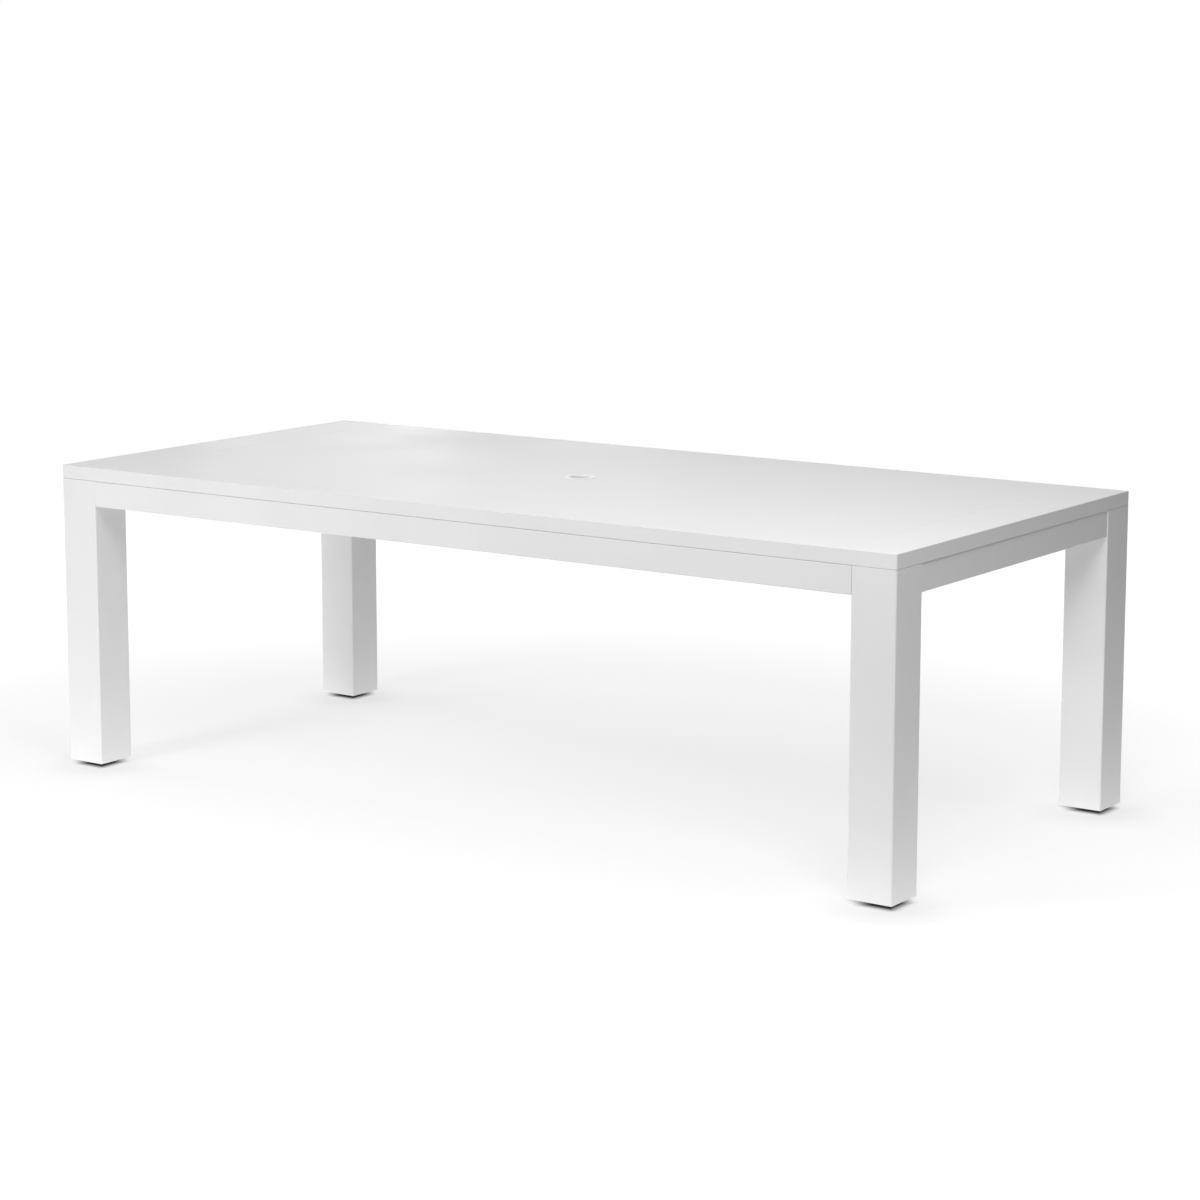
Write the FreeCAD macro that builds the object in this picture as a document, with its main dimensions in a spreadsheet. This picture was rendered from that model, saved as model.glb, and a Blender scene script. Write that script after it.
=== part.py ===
import FreeCAD, Part
import math
import os
import re
import Sketcher

# Parsons dining table of powder-coated aluminium, in millimetres.
# The origin is on the floor under the middle of the top. +X runs along the table,
# +Y from its front to its back and +Z up.

doc = FreeCAD.newDocument("parsons_table")
sizes = doc.addObject("Spreadsheet::Sheet", "Sizes")
V = FreeCAD.Vector
UP = V(0, 0, 1)
# An edge counts as lying at a level when it is this near to it
TOUCH = 0.01

# Driving dimensions: name, value, what it measures
DIMENSIONS = [
    ("table_length", 2286, "overall length, 90 in"),
    ("table_width", 1066.8, "overall width, 42 in"),
    ("table_height", 730.25, "floor to table top, 28.75 in"),
    ("slab_thickness", 31.75, "edge of the top, 1.25 in"),
    ("rail_width", 137, "border frame of the top"),
    ("rail_wall", 2.5, "walls of the border extrusion"),
    ("rail_web", 2, "two inner webs of the border extrusion"),
    ("corner_round", 3, "plan radius of slab, leg and panel corners"),
    ("edge_round", 0.8, "radius of the slab's and legs' rims"),
    ("ledge_depth", 18, "how far the ledge reaches under the panel"),
    ("ledge_thickness", 3, "ledge of the border extrusion"),
    ("panel_gap", 0.4, "gap between panel and border"),
    ("panel_sheet", 2.5, "panel sheet"),
    ("panel_edge", 1, "rounded upper edge of the panel"),
    ("rib_width", 30, "box ribs under the panel"),
    ("rib_wall", 1.5, "walls of the ribs"),
    ("rib_near", 150, "first pair of ribs from the middle"),
    ("rib_mid", 470, "second pair of ribs from the middle"),
    ("rib_far", 810, "third pair of ribs from the middle"),
    ("reveal", 0.5, "shadow gap between base and top"),
    ("apron_height", 61, "apron tube, upright"),
    ("apron_depth", 38, "apron tube, across"),
    ("apron_wall", 2.5, "walls of the apron tube"),
    ("apron_round", 2.5, "outer radius of the apron tube"),
    ("end_break", 0.4, "broken edge of the apron's ends and the border's inner rim"),
    ("end_setback", 3, "end aprons behind the legs' outer faces"),
    ("leg_side", 105, "square leg"),
    ("leg_wall", 3, "walls of the leg"),
    ("foot_clearance", 7, "floor to the leg's lower end"),
    ("cap_thickness", 3, "plate that closes the leg's upper end"),
    ("plate_slack", 0.2, "play of plates and ribs in their places"),
    ("cross_height", 40, "cross rail tube, upright"),
    ("cross_width", 25, "cross rail tube, across"),
    ("cross_wall", 2, "walls of the cross rails"),
    ("cross_inner", 90, "inner pair of cross rails from the middle"),
    ("cross_outer", 600, "outer pair of cross rails from the middle"),
    ("bracket_thickness", 4, "corner bracket extrusion"),
    ("bracket_height", 50, "corner bracket, upright"),
    ("bracket_flange", 60, "corner bracket along each apron"),
    ("bracket_screw_reach", 34, "bracket screws from the leg's inner corner"),
    ("bolt_pitch", 26, "between the upper and lower bolts of a bracket"),
    ("bolt_radius", 4, "M8 leg bolt"),
    ("bolt_length", 22, "M8 leg bolt under its head"),
    ("bolt_flats", 13, "across the flats of the leg bolt"),
    ("bolt_flange", 9, "flange radius of the leg bolt"),
    ("nut_radius", 5.5, "rivet nut body"),
    ("nut_collar", 7.5, "rivet nut collar inside the leg wall"),
    ("nut_length", 16, "rivet nut"),
    ("screw_radius", 3, "M6 bracket screw"),
    ("screw_length", 14, "M6 bracket screw under its head"),
    ("small_radius", 2.5, "M5 small screw"),
    ("small_length", 12, "M5 small screw under its head"),
    ("head_ratio", 1.9, "screw head's radius over the shank's"),
    ("crown_ratio", 1.3, "flat of the screw head over the shank's radius"),
    ("rise_ratio", 1.1, "screw head's height over the shank's radius"),
    ("hole_slack", 0.3, "radial play of a hole round a screw"),
    ("thread_slack", 0.05, "radial play in a thread or a running fit"),
    ("clip_side", 30, "legs of the angle clip"),
    ("clip_width", 25, "angle clip along the apron"),
    ("clip_thickness", 3, "angle clip"),
    ("clip_reach", 17.4, "clip screws from the clip's corner"),
    ("clip_pitch", 800, "between the clips of a long apron"),
    ("panel_screw_reach", 12, "panel screws from the border's inner face"),
    ("spacer_radius", 10, "pads that make the shadow gap"),
    ("spacer_reach", 25, "pads from the long aprons' inner faces"),
    ("pole_bore", 25.4, "umbrella pole bore radius, for a 2 in hole"),
    ("ring_neck", 29, "outer radius of the umbrella ring's neck"),
    ("ring_flange", 36, "flange radius of the umbrella ring"),
    ("ring_height", 1.5, "flange of the umbrella ring above the panel"),
    ("ring_round", 1.2, "rounded rim of the umbrella ring"),
    ("ring_nut_radius", 37, "ring nut under the panel"),
    ("ring_nut_height", 6, "ring nut under the panel"),
    ("guide_width", 120, "guide plate along the cross rails"),
    ("guide_thickness", 3, "guide plate"),
    ("guide_screw_reach", 45, "guide plate screws from the middle"),
    ("foot_recess", 12, "foot plate above the leg's lower end"),
    ("foot_thickness", 6, "foot plate"),
    ("weld_nut_flats", 17, "weld nut on the foot plate"),
    ("weld_nut_height", 12, "weld nut on the foot plate"),
    ("stem_radius", 5, "M10 glide stem"),
    ("stem_length", 36, "glide stem above its hexagon"),
    ("stem_flats", 24, "spanner hexagon of the glide stem"),
    ("pin_length", 7, "glide stem's pin in the pad"),
    ("pad_radius", 24, "glide pad"),
    ("pad_rim", 5, "upright rim of the glide pad"),
    ("pad_height", 11, "glide pad at its socket"),
    ("pad_crown", 12, "radius of the glide pad's upper face"),
    ("pad_chamfer", 1, "lower edge of the glide pad"),
    ("socket_floor", 3.5, "glide pad under its socket"),
]
for row, (name, size, note) in enumerate(DIMENSIONS, 1):
    sizes.set(f"A{row}", note)
    sizes.set(f"B{row}", str(size))
    sizes.setAlias(f"B{row}", name)
doc.recompute()

# Levels and lengths that several pieces share
SLAB_BOTTOM = "(table_height - slab_thickness)"
BASE_TOP = "(table_height - slab_thickness - reveal)"
APRON_BOTTOM = "(table_height - slab_thickness - reveal - apron_height)"
RIB_HEIGHT = "(slab_thickness - ledge_thickness - panel_sheet)"
FOOT_LEVEL = "(foot_clearance + foot_recess)"

# Sides of the table as seen from above: name and turn about Z that faces it outwards
SIDES = [("front", 0), ("right", 90), ("back", 180), ("left", -90)]
# Corners of the table: name and the signs of X and Y there
CORNERS = [("front_left", -1, -1), ("front_right", 1, -1), ("back_left", -1, 1), ("back_right", 1, 1)]

nodes = []


def bound(text):
    """The expression with each dimension's name written as its cell."""
    return re.sub(r"\b[a-z_]+\b(?!\()", lambda word: "Sizes." + word.group(), str(text))


def new_body(label):
    body = doc.addObject("PartDesign::Body", label)
    body.Label = label
    return body


def keep(piece):
    """Count the piece among the table's own, to be written out."""
    nodes.append(piece)
    return piece


def place(piece, x, y, z, turn=0):
    """Stand the piece at a bound point, turned about the upright axis."""
    piece.Placement = FreeCAD.Placement(V(), FreeCAD.Rotation(UP, turn))
    for axis, text in zip("xyz", (x, y, z)):
        piece.setExpression(f".Placement.Base.{axis}", bound(text))
    return piece


def sketch_on(body, role, offset=None):
    """A sketch on one of the body's origin planes, or offset along that plane's normal."""
    plane = next(f for f in body.Origin.OriginFeatures if f.Role == role)
    sketch = body.newObject("Sketcher::SketchObject", "Sketch")
    sketch.AttachmentSupport = [(plane, "")]
    sketch.MapMode = "FlatFace"
    if offset:
        sketch.setExpression(".AttachmentOffset.Base.z", bound(offset))
    return sketch


def bind_point(sketch, geometry, position, x, y):
    """Hold a point of the sketch, from where it was drawn, at bound distances from the origin."""
    drawn = sketch.getPoint(geometry, position)
    for kind, text, start in (("DistanceX", x, drawn.x), ("DistanceY", y, drawn.y)):
        index = sketch.addConstraint(Sketcher.Constraint(kind, -1, 1, geometry, position, start))
        sketch.setExpression(f"Constraints[{index}]", bound(text))


def polygon(sketch, corners):
    """A closed outline through bound corners."""
    first = sketch.GeometryCount
    count = len(corners)
    turn = FreeCAD.Rotation(UP, 360 / count)
    start = V(1, 0, 0)
    for _ in corners:
        end = turn.multVec(start)
        sketch.addGeometry(Part.LineSegment(start, end), False)
        start = end
    for i in range(count):
        sketch.addConstraint(Sketcher.Constraint("Coincident", first + i, 2, first + (i + 1) % count, 1))
    for i, (x, y) in enumerate(corners):
        bind_point(sketch, first + i, 1, x, y)


def rectangle(sketch, left, low, right, high):
    polygon(sketch, [(left, low), (right, low), (right, high), (left, high)])


def centred(sketch, half_width, half_height):
    rectangle(sketch, f"-({half_width})", f"-({half_height})", half_width, half_height)


def hexagon(sketch, flats):
    """A hexagon about the origin, flats across Y."""
    side = f"({flats} / sqrt(3))"
    high = f"({flats} / 2)"
    upper = [(side, 0), (f"{side} / 2", high), (f"-{side} / 2", high)]
    lower = [(f"-{side}", 0), (f"-{side} / 2", f"-{high}"), (f"{side} / 2", f"-{high}")]
    polygon(sketch, upper + lower)


def circle(sketch, x, y, radius):
    index = sketch.addGeometry(Part.Circle(V(), UP, 1), False)
    bind_point(sketch, index, 3, x, y)
    constraint = sketch.addConstraint(Sketcher.Constraint("Radius", index, 1.0))
    sketch.setExpression(f"Constraints[{constraint}]", bound(radius))


def pad(body, sketch, length, both_ways=False, backwards=False):
    feature = body.newObject("PartDesign::Pad", "Pad")
    feature.Profile = sketch
    feature.SideType = "Symmetric" if both_ways else "One side"
    feature.Reversed = backwards
    feature.setExpression("Length", bound(length))
    doc.recompute()
    return feature


def pocket(body, sketch, depth=None, one_way=False, along_normal=True):
    """Cut the sketch to a depth, or right through when no depth is given."""
    before = body.Shape.Volume
    feature = body.newObject("PartDesign::Pocket", "Pocket")
    feature.Profile = sketch
    if depth is None:
        feature.Type = "ThroughAll"
        feature.SideType = "One side" if one_way else "Symmetric"
    else:
        feature.setExpression("Length", bound(depth))
    feature.Reversed = along_normal
    doc.recompute()
    if body.Shape.Volume >= before:
        raise RuntimeError(f"a pocket of {body.Label} cuts nothing")


def revolve(body, corners):
    """Turn an outline of radius and height about the body's Z axis."""
    sketch = sketch_on(body, "XZ_Plane")
    polygon(sketch, corners)
    feature = body.newObject("PartDesign::Revolution", "Revolution")
    feature.Profile = sketch
    feature.ReferenceAxis = (sketch, ["V_Axis"])
    feature.Angle = 360
    doc.recompute()


def fillet(body, radius, wanted, kind="Fillet"):
    """Round or, as a Chamfer, bevel the edges that the test picks out."""
    base = body.Tip
    names = [f"Edge{i}" for i, edge in enumerate(base.Shape.Edges, 1) if wanted(edge.BoundBox)]
    feature = body.newObject(f"PartDesign::{kind}", kind)
    feature.Base = (base, names)
    feature.setExpression("Radius" if kind == "Fillet" else "Size", bound(radius))
    doc.recompute()


def is_upright(box):
    return box.XLength < TOUCH and box.YLength < TOUCH


def at_level(level, axis="Z"):
    """A test for edges that lie wholly at one level of an axis."""
    ends = (f"{axis}Min", f"{axis}Max")
    return lambda box: all(abs(getattr(box, end) - level) < TOUCH for end in ends)


def lies_along(axis):
    others = [a for a in "XYZ" if a != axis]
    return lambda box: all(getattr(box, f"{a}Length") < TOUCH for a in others)


def group(label, pattern, places):
    """Separate copies of one pattern solid: each place is a point, an axis and a turn about Z."""
    copies = []
    for point, axis, turn in places:
        copy = pattern.Shape.copy()
        aim = FreeCAD.Rotation(UP, axis).multiply(FreeCAD.Rotation(UP, turn))
        copy.Placement = FreeCAD.Placement(point, aim)
        copies.append(copy)
    piece = doc.addObject("Part::Feature", label)
    piece.Label = label
    piece.Shape = Part.makeCompound(copies)
    return keep(piece)


# Top: four mitred border extrusions with three chambers and a ledge for the panel


def corner_point(length, inward):
    """A point of the mitre line, as distances from the rail's middle and outer face."""
    return f"({length} / 2 - {inward})", inward


def rail_outline(sketch, length):
    """The rail in plan: outer edge, half a rounded corner at each end, mitres, inner edge."""
    half = getattr(sizes, length) / 2
    width = sizes.rail_width
    radius = sizes.corner_round
    outwards, to_mitre = math.radians(-90), math.radians(45)
    inset = radius * (1 - math.cos(to_mitre))
    right = [V(half - radius, 0, 0), V(half - inset, inset, 0), V(half - width, width, 0)]
    left = [V(-p.x, p.y, 0) for p in right]
    sketch.addGeometry(Part.LineSegment(left[0], right[0]), False)
    right_circle = Part.Circle(V(half - radius, radius, 0), UP, radius)
    right_arc = sketch.addGeometry(Part.ArcOfCircle(right_circle, outwards, outwards + to_mitre), False)
    right_mitre = sketch.addGeometry(Part.LineSegment(right[1], right[2]), False)
    inner = sketch.addGeometry(Part.LineSegment(right[2], left[2]), False)
    left_mitre = sketch.addGeometry(Part.LineSegment(left[2], left[1]), False)
    left_circle = Part.Circle(V(radius - half, radius, 0), UP, radius)
    left_arc = sketch.addGeometry(Part.ArcOfCircle(left_circle, outwards - to_mitre, outwards), False)
    ends = [(0, 2, right_arc, 1), (right_arc, 2, right_mitre, 1), (right_mitre, 2, inner, 1)]
    ends += [(inner, 2, left_mitre, 1), (left_mitre, 2, left_arc, 1), (left_arc, 2, 0, 1)]
    for end in ends:
        sketch.addConstraint(Sketcher.Constraint("Coincident", *end))
    for arc, mitre in ((right_arc, right_mitre), (left_arc, left_mitre)):
        sketch.addConstraint(Sketcher.Constraint("PointOnObject", arc, 3, mitre))
    along, inward = corner_point(length, "corner_round")
    bind_point(sketch, 0, 1, f"-{along}", 0)
    bind_point(sketch, 0, 2, along, 0)
    bind_point(sketch, right_arc, 3, along, inward)
    bind_point(sketch, left_arc, 3, f"-{along}", inward)
    along, inward = corner_point(length, "rail_width")
    bind_point(sketch, inner, 1, along, inward)
    bind_point(sketch, inner, 2, f"-{along}", inward)


def border_rail(label, length, clip_holes, ledge_holes):
    """One side of the border frame, its outer face on Y = 0 and its underside on Z = 0."""
    rail = keep(new_body(label))
    plan = sketch_on(rail, "XY_Plane")
    rail_outline(plan, length)
    pad(rail, plan, "slab_thickness")
    top = at_level(sizes.slab_thickness)
    bottom = at_level(0)
    outer = sizes.corner_round
    fillet(rail, "edge_round", lambda box: (top(box) or bottom(box)) and box.YMax < outer)
    inner = at_level(sizes.rail_width, "Y")
    fillet(rail, "end_break", lambda box: inner(box) and top(box))
    ledge = sketch_on(rail, "XY_Plane")
    wide_x, wide_y = corner_point(length, "rail_width")
    deep_x, deep_y = corner_point(length, "(rail_width + ledge_depth)")
    polygon(ledge, [(f"-{wide_x}", wide_y), (wide_x, wide_y), (deep_x, deep_y), (f"-{deep_x}", deep_y)])
    pad(rail, ledge, "ledge_thickness")
    chambers = sketch_on(rail, "YZ_Plane")
    chamber = "(rail_width - 2 * rail_wall - 2 * rail_web) / 3"
    for i in range(3):
        start = f"rail_wall + {i} * ({chamber} + rail_web)"
        rectangle(chambers, start, "rail_wall", f"{start} + {chamber}", "slab_thickness - rail_wall")
    pocket(rail, chambers)
    holes = sketch_on(rail, "XY_Plane")
    for x, y in clip_holes:
        circle(holes, x, y, "small_radius + thread_slack")
    pocket(rail, holes, "rail_wall")
    if ledge_holes:
        holes = sketch_on(rail, "XY_Plane")
        for x, y in ledge_holes:
            circle(holes, x, y, "small_radius + hole_slack")
        pocket(rail, holes, "ledge_thickness")
    return rail


RIB_PLACES = [f"{sign} * {name}" for name in ("rib_near", "rib_mid", "rib_far") for sign in (-1, 1)]
CLIP_PLACES = ["-clip_pitch", "0", "clip_pitch"]
long_clips = [(x, "apron_depth + clip_reach") for x in CLIP_PLACES]
end_clip = [("0", "end_setback + apron_depth + clip_reach")]
panel_screws = [(x, "rail_width + panel_screw_reach") for x in RIB_PLACES]
OUTER_FACES = {
    "front": ("0", "-table_width / 2"),
    "right": ("table_length / 2", "0"),
    "back": ("0", "table_width / 2"),
    "left": ("-table_length / 2", "0"),
}
for side, turn in SIDES:
    if side in ("front", "back"):
        rail = border_rail(f"top_rail_{side}", "table_length", long_clips, panel_screws)
    else:
        rail = border_rail(f"top_rail_{side}", "table_width", end_clip, [])
    place(rail, *OUTER_FACES[side], SLAB_BOTTOM, turn)

# Top: the folded panel, its ribs and the umbrella ring

panel = keep(new_body("top_panel"))
plan = sketch_on(panel, "XY_Plane")
half_length = "table_length / 2 - rail_width - panel_gap"
half_width = "table_width / 2 - rail_width - panel_gap"
centred(plan, half_length, half_width)
pad(panel, plan, "slab_thickness - ledge_thickness")
fillet(panel, "corner_round", is_upright)
fillet(panel, "panel_edge", at_level(sizes.slab_thickness - sizes.ledge_thickness))
hollow = sketch_on(panel, "XY_Plane")
centred(hollow, f"{half_length} - panel_sheet", f"{half_width} - panel_sheet")
pocket(panel, hollow, RIB_HEIGHT)
hole = sketch_on(panel, "XY_Plane")
circle(hole, 0, 0, "ring_neck + hole_slack")
pocket(panel, hole)
place(panel, 0, 0, f"{SLAB_BOTTOM} + ledge_thickness")


def tube(body, plane, half_width, height, wall, length, rounding=None, axis="Y"):
    """A rectangular tube lying along an axis, its underside on Z = 0."""
    outline = sketch_on(body, plane)
    rectangle(outline, f"-({half_width})", 0, half_width, height)
    pad(body, outline, length, both_ways=True)
    if rounding:
        fillet(body, rounding, lies_along(axis))
    hollow = sketch_on(body, plane)
    inner = f"{half_width} - {wall}"
    rectangle(hollow, f"-({inner})", wall, inner, f"{height} - {wall}")
    pocket(body, hollow)


for number, x in enumerate(RIB_PLACES, 1):
    rib = keep(new_body(f"panel_rib_{number}"))
    rib_length = "table_width - 2 * (rail_width + panel_gap + panel_sheet + plate_slack)"
    tube(rib, "XZ_Plane", "rib_width / 2", RIB_HEIGHT, "rib_wall", rib_length)
    holes = sketch_on(rib, "XY_Plane")
    for sign in (-1, 1):
        reach = f"{sign} * (table_width / 2 - rail_width - panel_screw_reach)"
        circle(holes, 0, reach, "small_radius + thread_slack")
    pocket(rib, holes, "rib_wall")
    place(rib, x, 0, f"{SLAB_BOTTOM} + ledge_thickness")

ring = keep(new_body("umbrella_ring"))
neck_end = "-slab_thickness"
ring_profile = [("pole_bore", neck_end), ("ring_neck", neck_end), ("ring_neck", 0)]
ring_profile += [("ring_flange", 0), ("ring_flange", "ring_height"), ("pole_bore", "ring_height")]
revolve(ring, ring_profile)
fillet(ring, "ring_round", at_level(sizes.ring_height))
place(ring, 0, 0, "table_height")

ring_nut = keep(new_body("umbrella_ring_nut"))
inner = "ring_neck + thread_slack"
ring_nut_profile = [(inner, 0), ("ring_nut_radius", 0)]
ring_nut_profile += [("ring_nut_radius", "ring_nut_height"), (inner, "ring_nut_height")]
revolve(ring_nut, ring_nut_profile)
place(ring_nut, 0, 0, "table_height - panel_sheet - ring_nut_height")

# Base: aprons, cross rails and the umbrella pole's guide plate


def apron(label, length, clips):
    """A length of tube along X with its outer face on Y = 0 and its underside on Z = 0."""
    piece = keep(new_body(label))
    outline = sketch_on(piece, "YZ_Plane")
    rectangle(outline, 0, 0, "apron_depth", "apron_height")
    pad(piece, outline, length, both_ways=True)
    fillet(piece, "apron_round", lies_along("X"))
    fillet(piece, "end_break", lambda box: box.XLength < TOUCH)
    hollow = sketch_on(piece, "YZ_Plane")
    rectangle(hollow, "apron_wall", "apron_wall", "apron_depth - apron_wall", "apron_height - apron_wall")
    pocket(piece, hollow)
    inner_wall = sketch_on(piece, "XZ_Plane", "-apron_depth / 2")
    for sign in (-1, 1):
        for level in (-1, 1):
            x = f"{sign} * ({length} / 2 - bracket_screw_reach)"
            z = f"apron_height / 2 + {level} * bolt_pitch / 2"
            circle(inner_wall, x, z, "screw_radius + thread_slack")
    for x in clips:
        circle(inner_wall, x, "apron_height + reveal - clip_reach", "small_radius + thread_slack")
    pocket(piece, inner_wall, one_way=True, along_normal=False)
    return piece


for side, turn in SIDES:
    x, y = OUTER_FACES[side]
    if side in ("front", "back"):
        piece = apron(f"apron_{side}", "(table_length - 2 * leg_side)", CLIP_PLACES)
    else:
        piece = apron(f"apron_{side}", "(table_width - 2 * leg_side)", ["0"])
        x += " - end_setback" if side == "right" else " + end_setback"
    place(piece, x, y, APRON_BOTTOM, turn)

CROSS_PLACES = ["-cross_outer", "-cross_inner", "cross_inner", "cross_outer"]
for number, x in enumerate(CROSS_PLACES, 1):
    rail = keep(new_body(f"cross_rail_{number}"))
    cross_length = "table_width - 2 * apron_depth"
    tube(rail, "XZ_Plane", "cross_width / 2", "cross_height", "cross_wall", cross_length, "edge_round")
    if "inner" in x:
        holes = sketch_on(rail, "XY_Plane")
        for sign in (-1, 1):
            circle(holes, 0, f"{sign} * guide_screw_reach", "small_radius + thread_slack")
        pocket(rail, holes, "cross_wall")
    place(rail, x, 0, f"{BASE_TOP} - cross_height")

guide = keep(new_body("umbrella_guide_plate"))
plan = sketch_on(guide, "XY_Plane")
centred(plan, "cross_inner + cross_width / 2", "guide_width / 2")
pad(guide, plan, "guide_thickness")
fillet(guide, "corner_round", is_upright)
holes = sketch_on(guide, "XY_Plane")
circle(holes, 0, 0, "pole_bore")
for x in ("-cross_inner", "cross_inner"):
    for sign in (-1, 1):
        circle(holes, x, f"{sign} * guide_screw_reach", "small_radius + hole_slack")
pocket(guide, holes)
place(guide, 0, 0, f"{BASE_TOP} - cross_height - guide_thickness")

# Base: legs, with their caps, foot plates, weld nuts and corner brackets

BRACKET_LEVEL = f"({APRON_BOTTOM} + apron_height / 2)"
# From the leg's inner corner back to the inner faces of the long and the end apron
TO_LONG_APRON = "(leg_side - apron_depth)"
TO_END_APRON = "(leg_side - apron_depth - end_setback)"


def square_plate(label, thickness, hole=None):
    """A plate that fits inside the leg, its underside on Z = 0."""
    plate = keep(new_body(label))
    plan = sketch_on(plate, "XY_Plane")
    half = "leg_side / 2 - leg_wall - plate_slack"
    centred(plan, half, half)
    if hole:
        circle(plan, 0, 0, hole)
    pad(plate, plan, thickness)
    return plate


def leg(label, sign_x, sign_y):
    """Square tube on Z = 0 with rivet nut holes in the two walls that face the middle."""
    piece = keep(new_body(label))
    plan = sketch_on(piece, "XY_Plane")
    centred(plan, "leg_side / 2", "leg_side / 2")
    height = f"({BASE_TOP} - foot_clearance)"
    pad(piece, plan, height)
    fillet(piece, "corner_round", is_upright)
    fillet(piece, "edge_round", lambda box: box.ZLength < TOUCH)
    hollow = sketch_on(piece, "XY_Plane")
    centred(hollow, "leg_side / 2 - leg_wall", "leg_side / 2 - leg_wall")
    pocket(piece, hollow)
    middle_x = f"{-sign_x} * (leg_side / 2 - {TO_END_APRON} / 2)"
    middle_y = f"{-sign_y} * (leg_side / 2 - {TO_LONG_APRON} / 2)"
    for plane, along, outward in (("YZ_Plane", middle_y, -sign_x), ("XZ_Plane", middle_x, sign_y)):
        holes = sketch_on(piece, plane)
        for level in (-1, 1):
            z = f"{height} - apron_height / 2 + {level} * bolt_pitch / 2"
            circle(holes, along, z, "nut_radius")
        pocket(piece, holes, one_way=True, along_normal=outward > 0)
    return piece


def corner_bracket(label, sign_x, sign_y):
    """Extruded bracket round the leg's inner corner, which is its origin, with a flange on each apron."""
    piece = keep(new_body(label))
    plan = sketch_on(piece, "XY_Plane")
    wall_x = f"-{TO_END_APRON}"
    wall_y = f"-{TO_LONG_APRON}"
    thick = "bracket_thickness"
    wall_side = [("bracket_flange", wall_y), ("0", wall_y), ("0", "0")]
    wall_side += [(wall_x, "0"), (wall_x, "bracket_flange")]
    open_side = [(f"{wall_x} + {thick}", "bracket_flange"), (f"{wall_x} + {thick}", thick), (thick, thick)]
    open_side += [(thick, f"{wall_y} + {thick}"), ("bracket_flange", f"{wall_y} + {thick}")]
    polygon(plan, [(f"{-sign_x} * ({x})", f"{-sign_y} * ({y})") for x, y in wall_side + open_side])
    pad(piece, plan, "bracket_height", both_ways=True)
    inside = sizes.bracket_thickness + TOUCH
    fillet(piece, "edge_round", lambda box: is_upright(box) and abs(box.XMin * box.YMin) > inside)
    on_leg_x = sketch_on(piece, "YZ_Plane")
    on_leg_y = sketch_on(piece, "XZ_Plane")
    for level in (-1, 1):
        z = f"{level} * bolt_pitch / 2"
        circle(on_leg_x, f"{-sign_y} * {wall_y} / 2", z, "bolt_radius + hole_slack")
        circle(on_leg_y, f"{-sign_x} * {wall_x} / 2", z, "bolt_radius + hole_slack")
    pocket(piece, on_leg_x, one_way=True, along_normal=sign_x < 0)
    pocket(piece, on_leg_y, one_way=True, along_normal=sign_y > 0)
    on_long = sketch_on(piece, "XZ_Plane")
    on_end = sketch_on(piece, "YZ_Plane")
    for level in (-1, 1):
        z = f"{level} * bolt_pitch / 2"
        circle(on_long, f"{-sign_x} * bracket_screw_reach", z, "screw_radius + hole_slack")
        circle(on_end, f"{-sign_y} * bracket_screw_reach", z, "screw_radius + hole_slack")
    pocket(piece, on_long)
    pocket(piece, on_end)
    return piece


def glide_stem(label):
    """Threaded stem on a hexagon, whose lower face is on Z = 0, with a pin below it."""
    stem = keep(new_body(label))
    hexagon_height = f"({FOOT_LEVEL} - pad_height)"
    flats = sketch_on(stem, "XY_Plane")
    hexagon(flats, "stem_flats")
    pad(stem, flats, hexagon_height)
    for length, downwards in ((f"{hexagon_height} + stem_length", False), ("pin_length", True)):
        section = sketch_on(stem, "XY_Plane")
        circle(section, 0, 0, "stem_radius")
        pad(stem, section, length, backwards=downwards)
    ends = stem.Shape.BoundBox
    upper = at_level(ends.ZMax)
    lower = at_level(ends.ZMin)
    fillet(stem, "pad_chamfer", lambda box: upper(box) or lower(box), "Chamfer")
    return stem


def glide_pad(label):
    """Swivelling pad on Z = 0: upright rim, conical crown and a socket for the stem's pin."""
    piece = keep(new_body(label))
    socket = "stem_radius + thread_slack"
    profile = [("0", "0"), ("pad_radius - pad_chamfer", "0"), ("pad_radius", "pad_chamfer")]
    profile += [("pad_radius", "pad_rim"), ("pad_crown", "pad_height"), (socket, "pad_height")]
    profile += [(socket, "socket_floor"), ("0", "socket_floor")]
    revolve(piece, profile)
    return piece


for corner, sign_x, sign_y in CORNERS:
    x = f"{sign_x} * (table_length - leg_side) / 2"
    y = f"{sign_y} * (table_width - leg_side) / 2"
    place(leg(f"leg_{corner}", sign_x, sign_y), x, y, "foot_clearance")
    cap = square_plate(f"leg_cap_{corner}", "cap_thickness")
    place(cap, x, y, f"{BASE_TOP} - cap_thickness")
    foot = square_plate(f"foot_plate_{corner}", "foot_thickness", "stem_radius + hole_slack")
    place(foot, x, y, FOOT_LEVEL)
    nut = keep(new_body(f"glide_nut_{corner}"))
    section = sketch_on(nut, "XY_Plane")
    hexagon(section, "weld_nut_flats")
    circle(section, 0, 0, "stem_radius + thread_slack")
    pad(nut, section, "weld_nut_height")
    place(nut, x, y, f"{FOOT_LEVEL} + foot_thickness")
    place(glide_stem(f"glide_stem_{corner}"), x, y, "pad_height")
    place(glide_pad(f"glide_pad_{corner}"), x, y, 0)
    bracket = corner_bracket(f"corner_bracket_{corner}", sign_x, sign_y)
    inner_x = f"{sign_x} * (table_length / 2 - leg_side)"
    inner_y = f"{sign_y} * (table_width / 2 - leg_side)"
    place(bracket, inner_x, inner_y, BRACKET_LEVEL)

# Fasteners and small hardware: one pattern solid of each kind, then its copies


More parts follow.
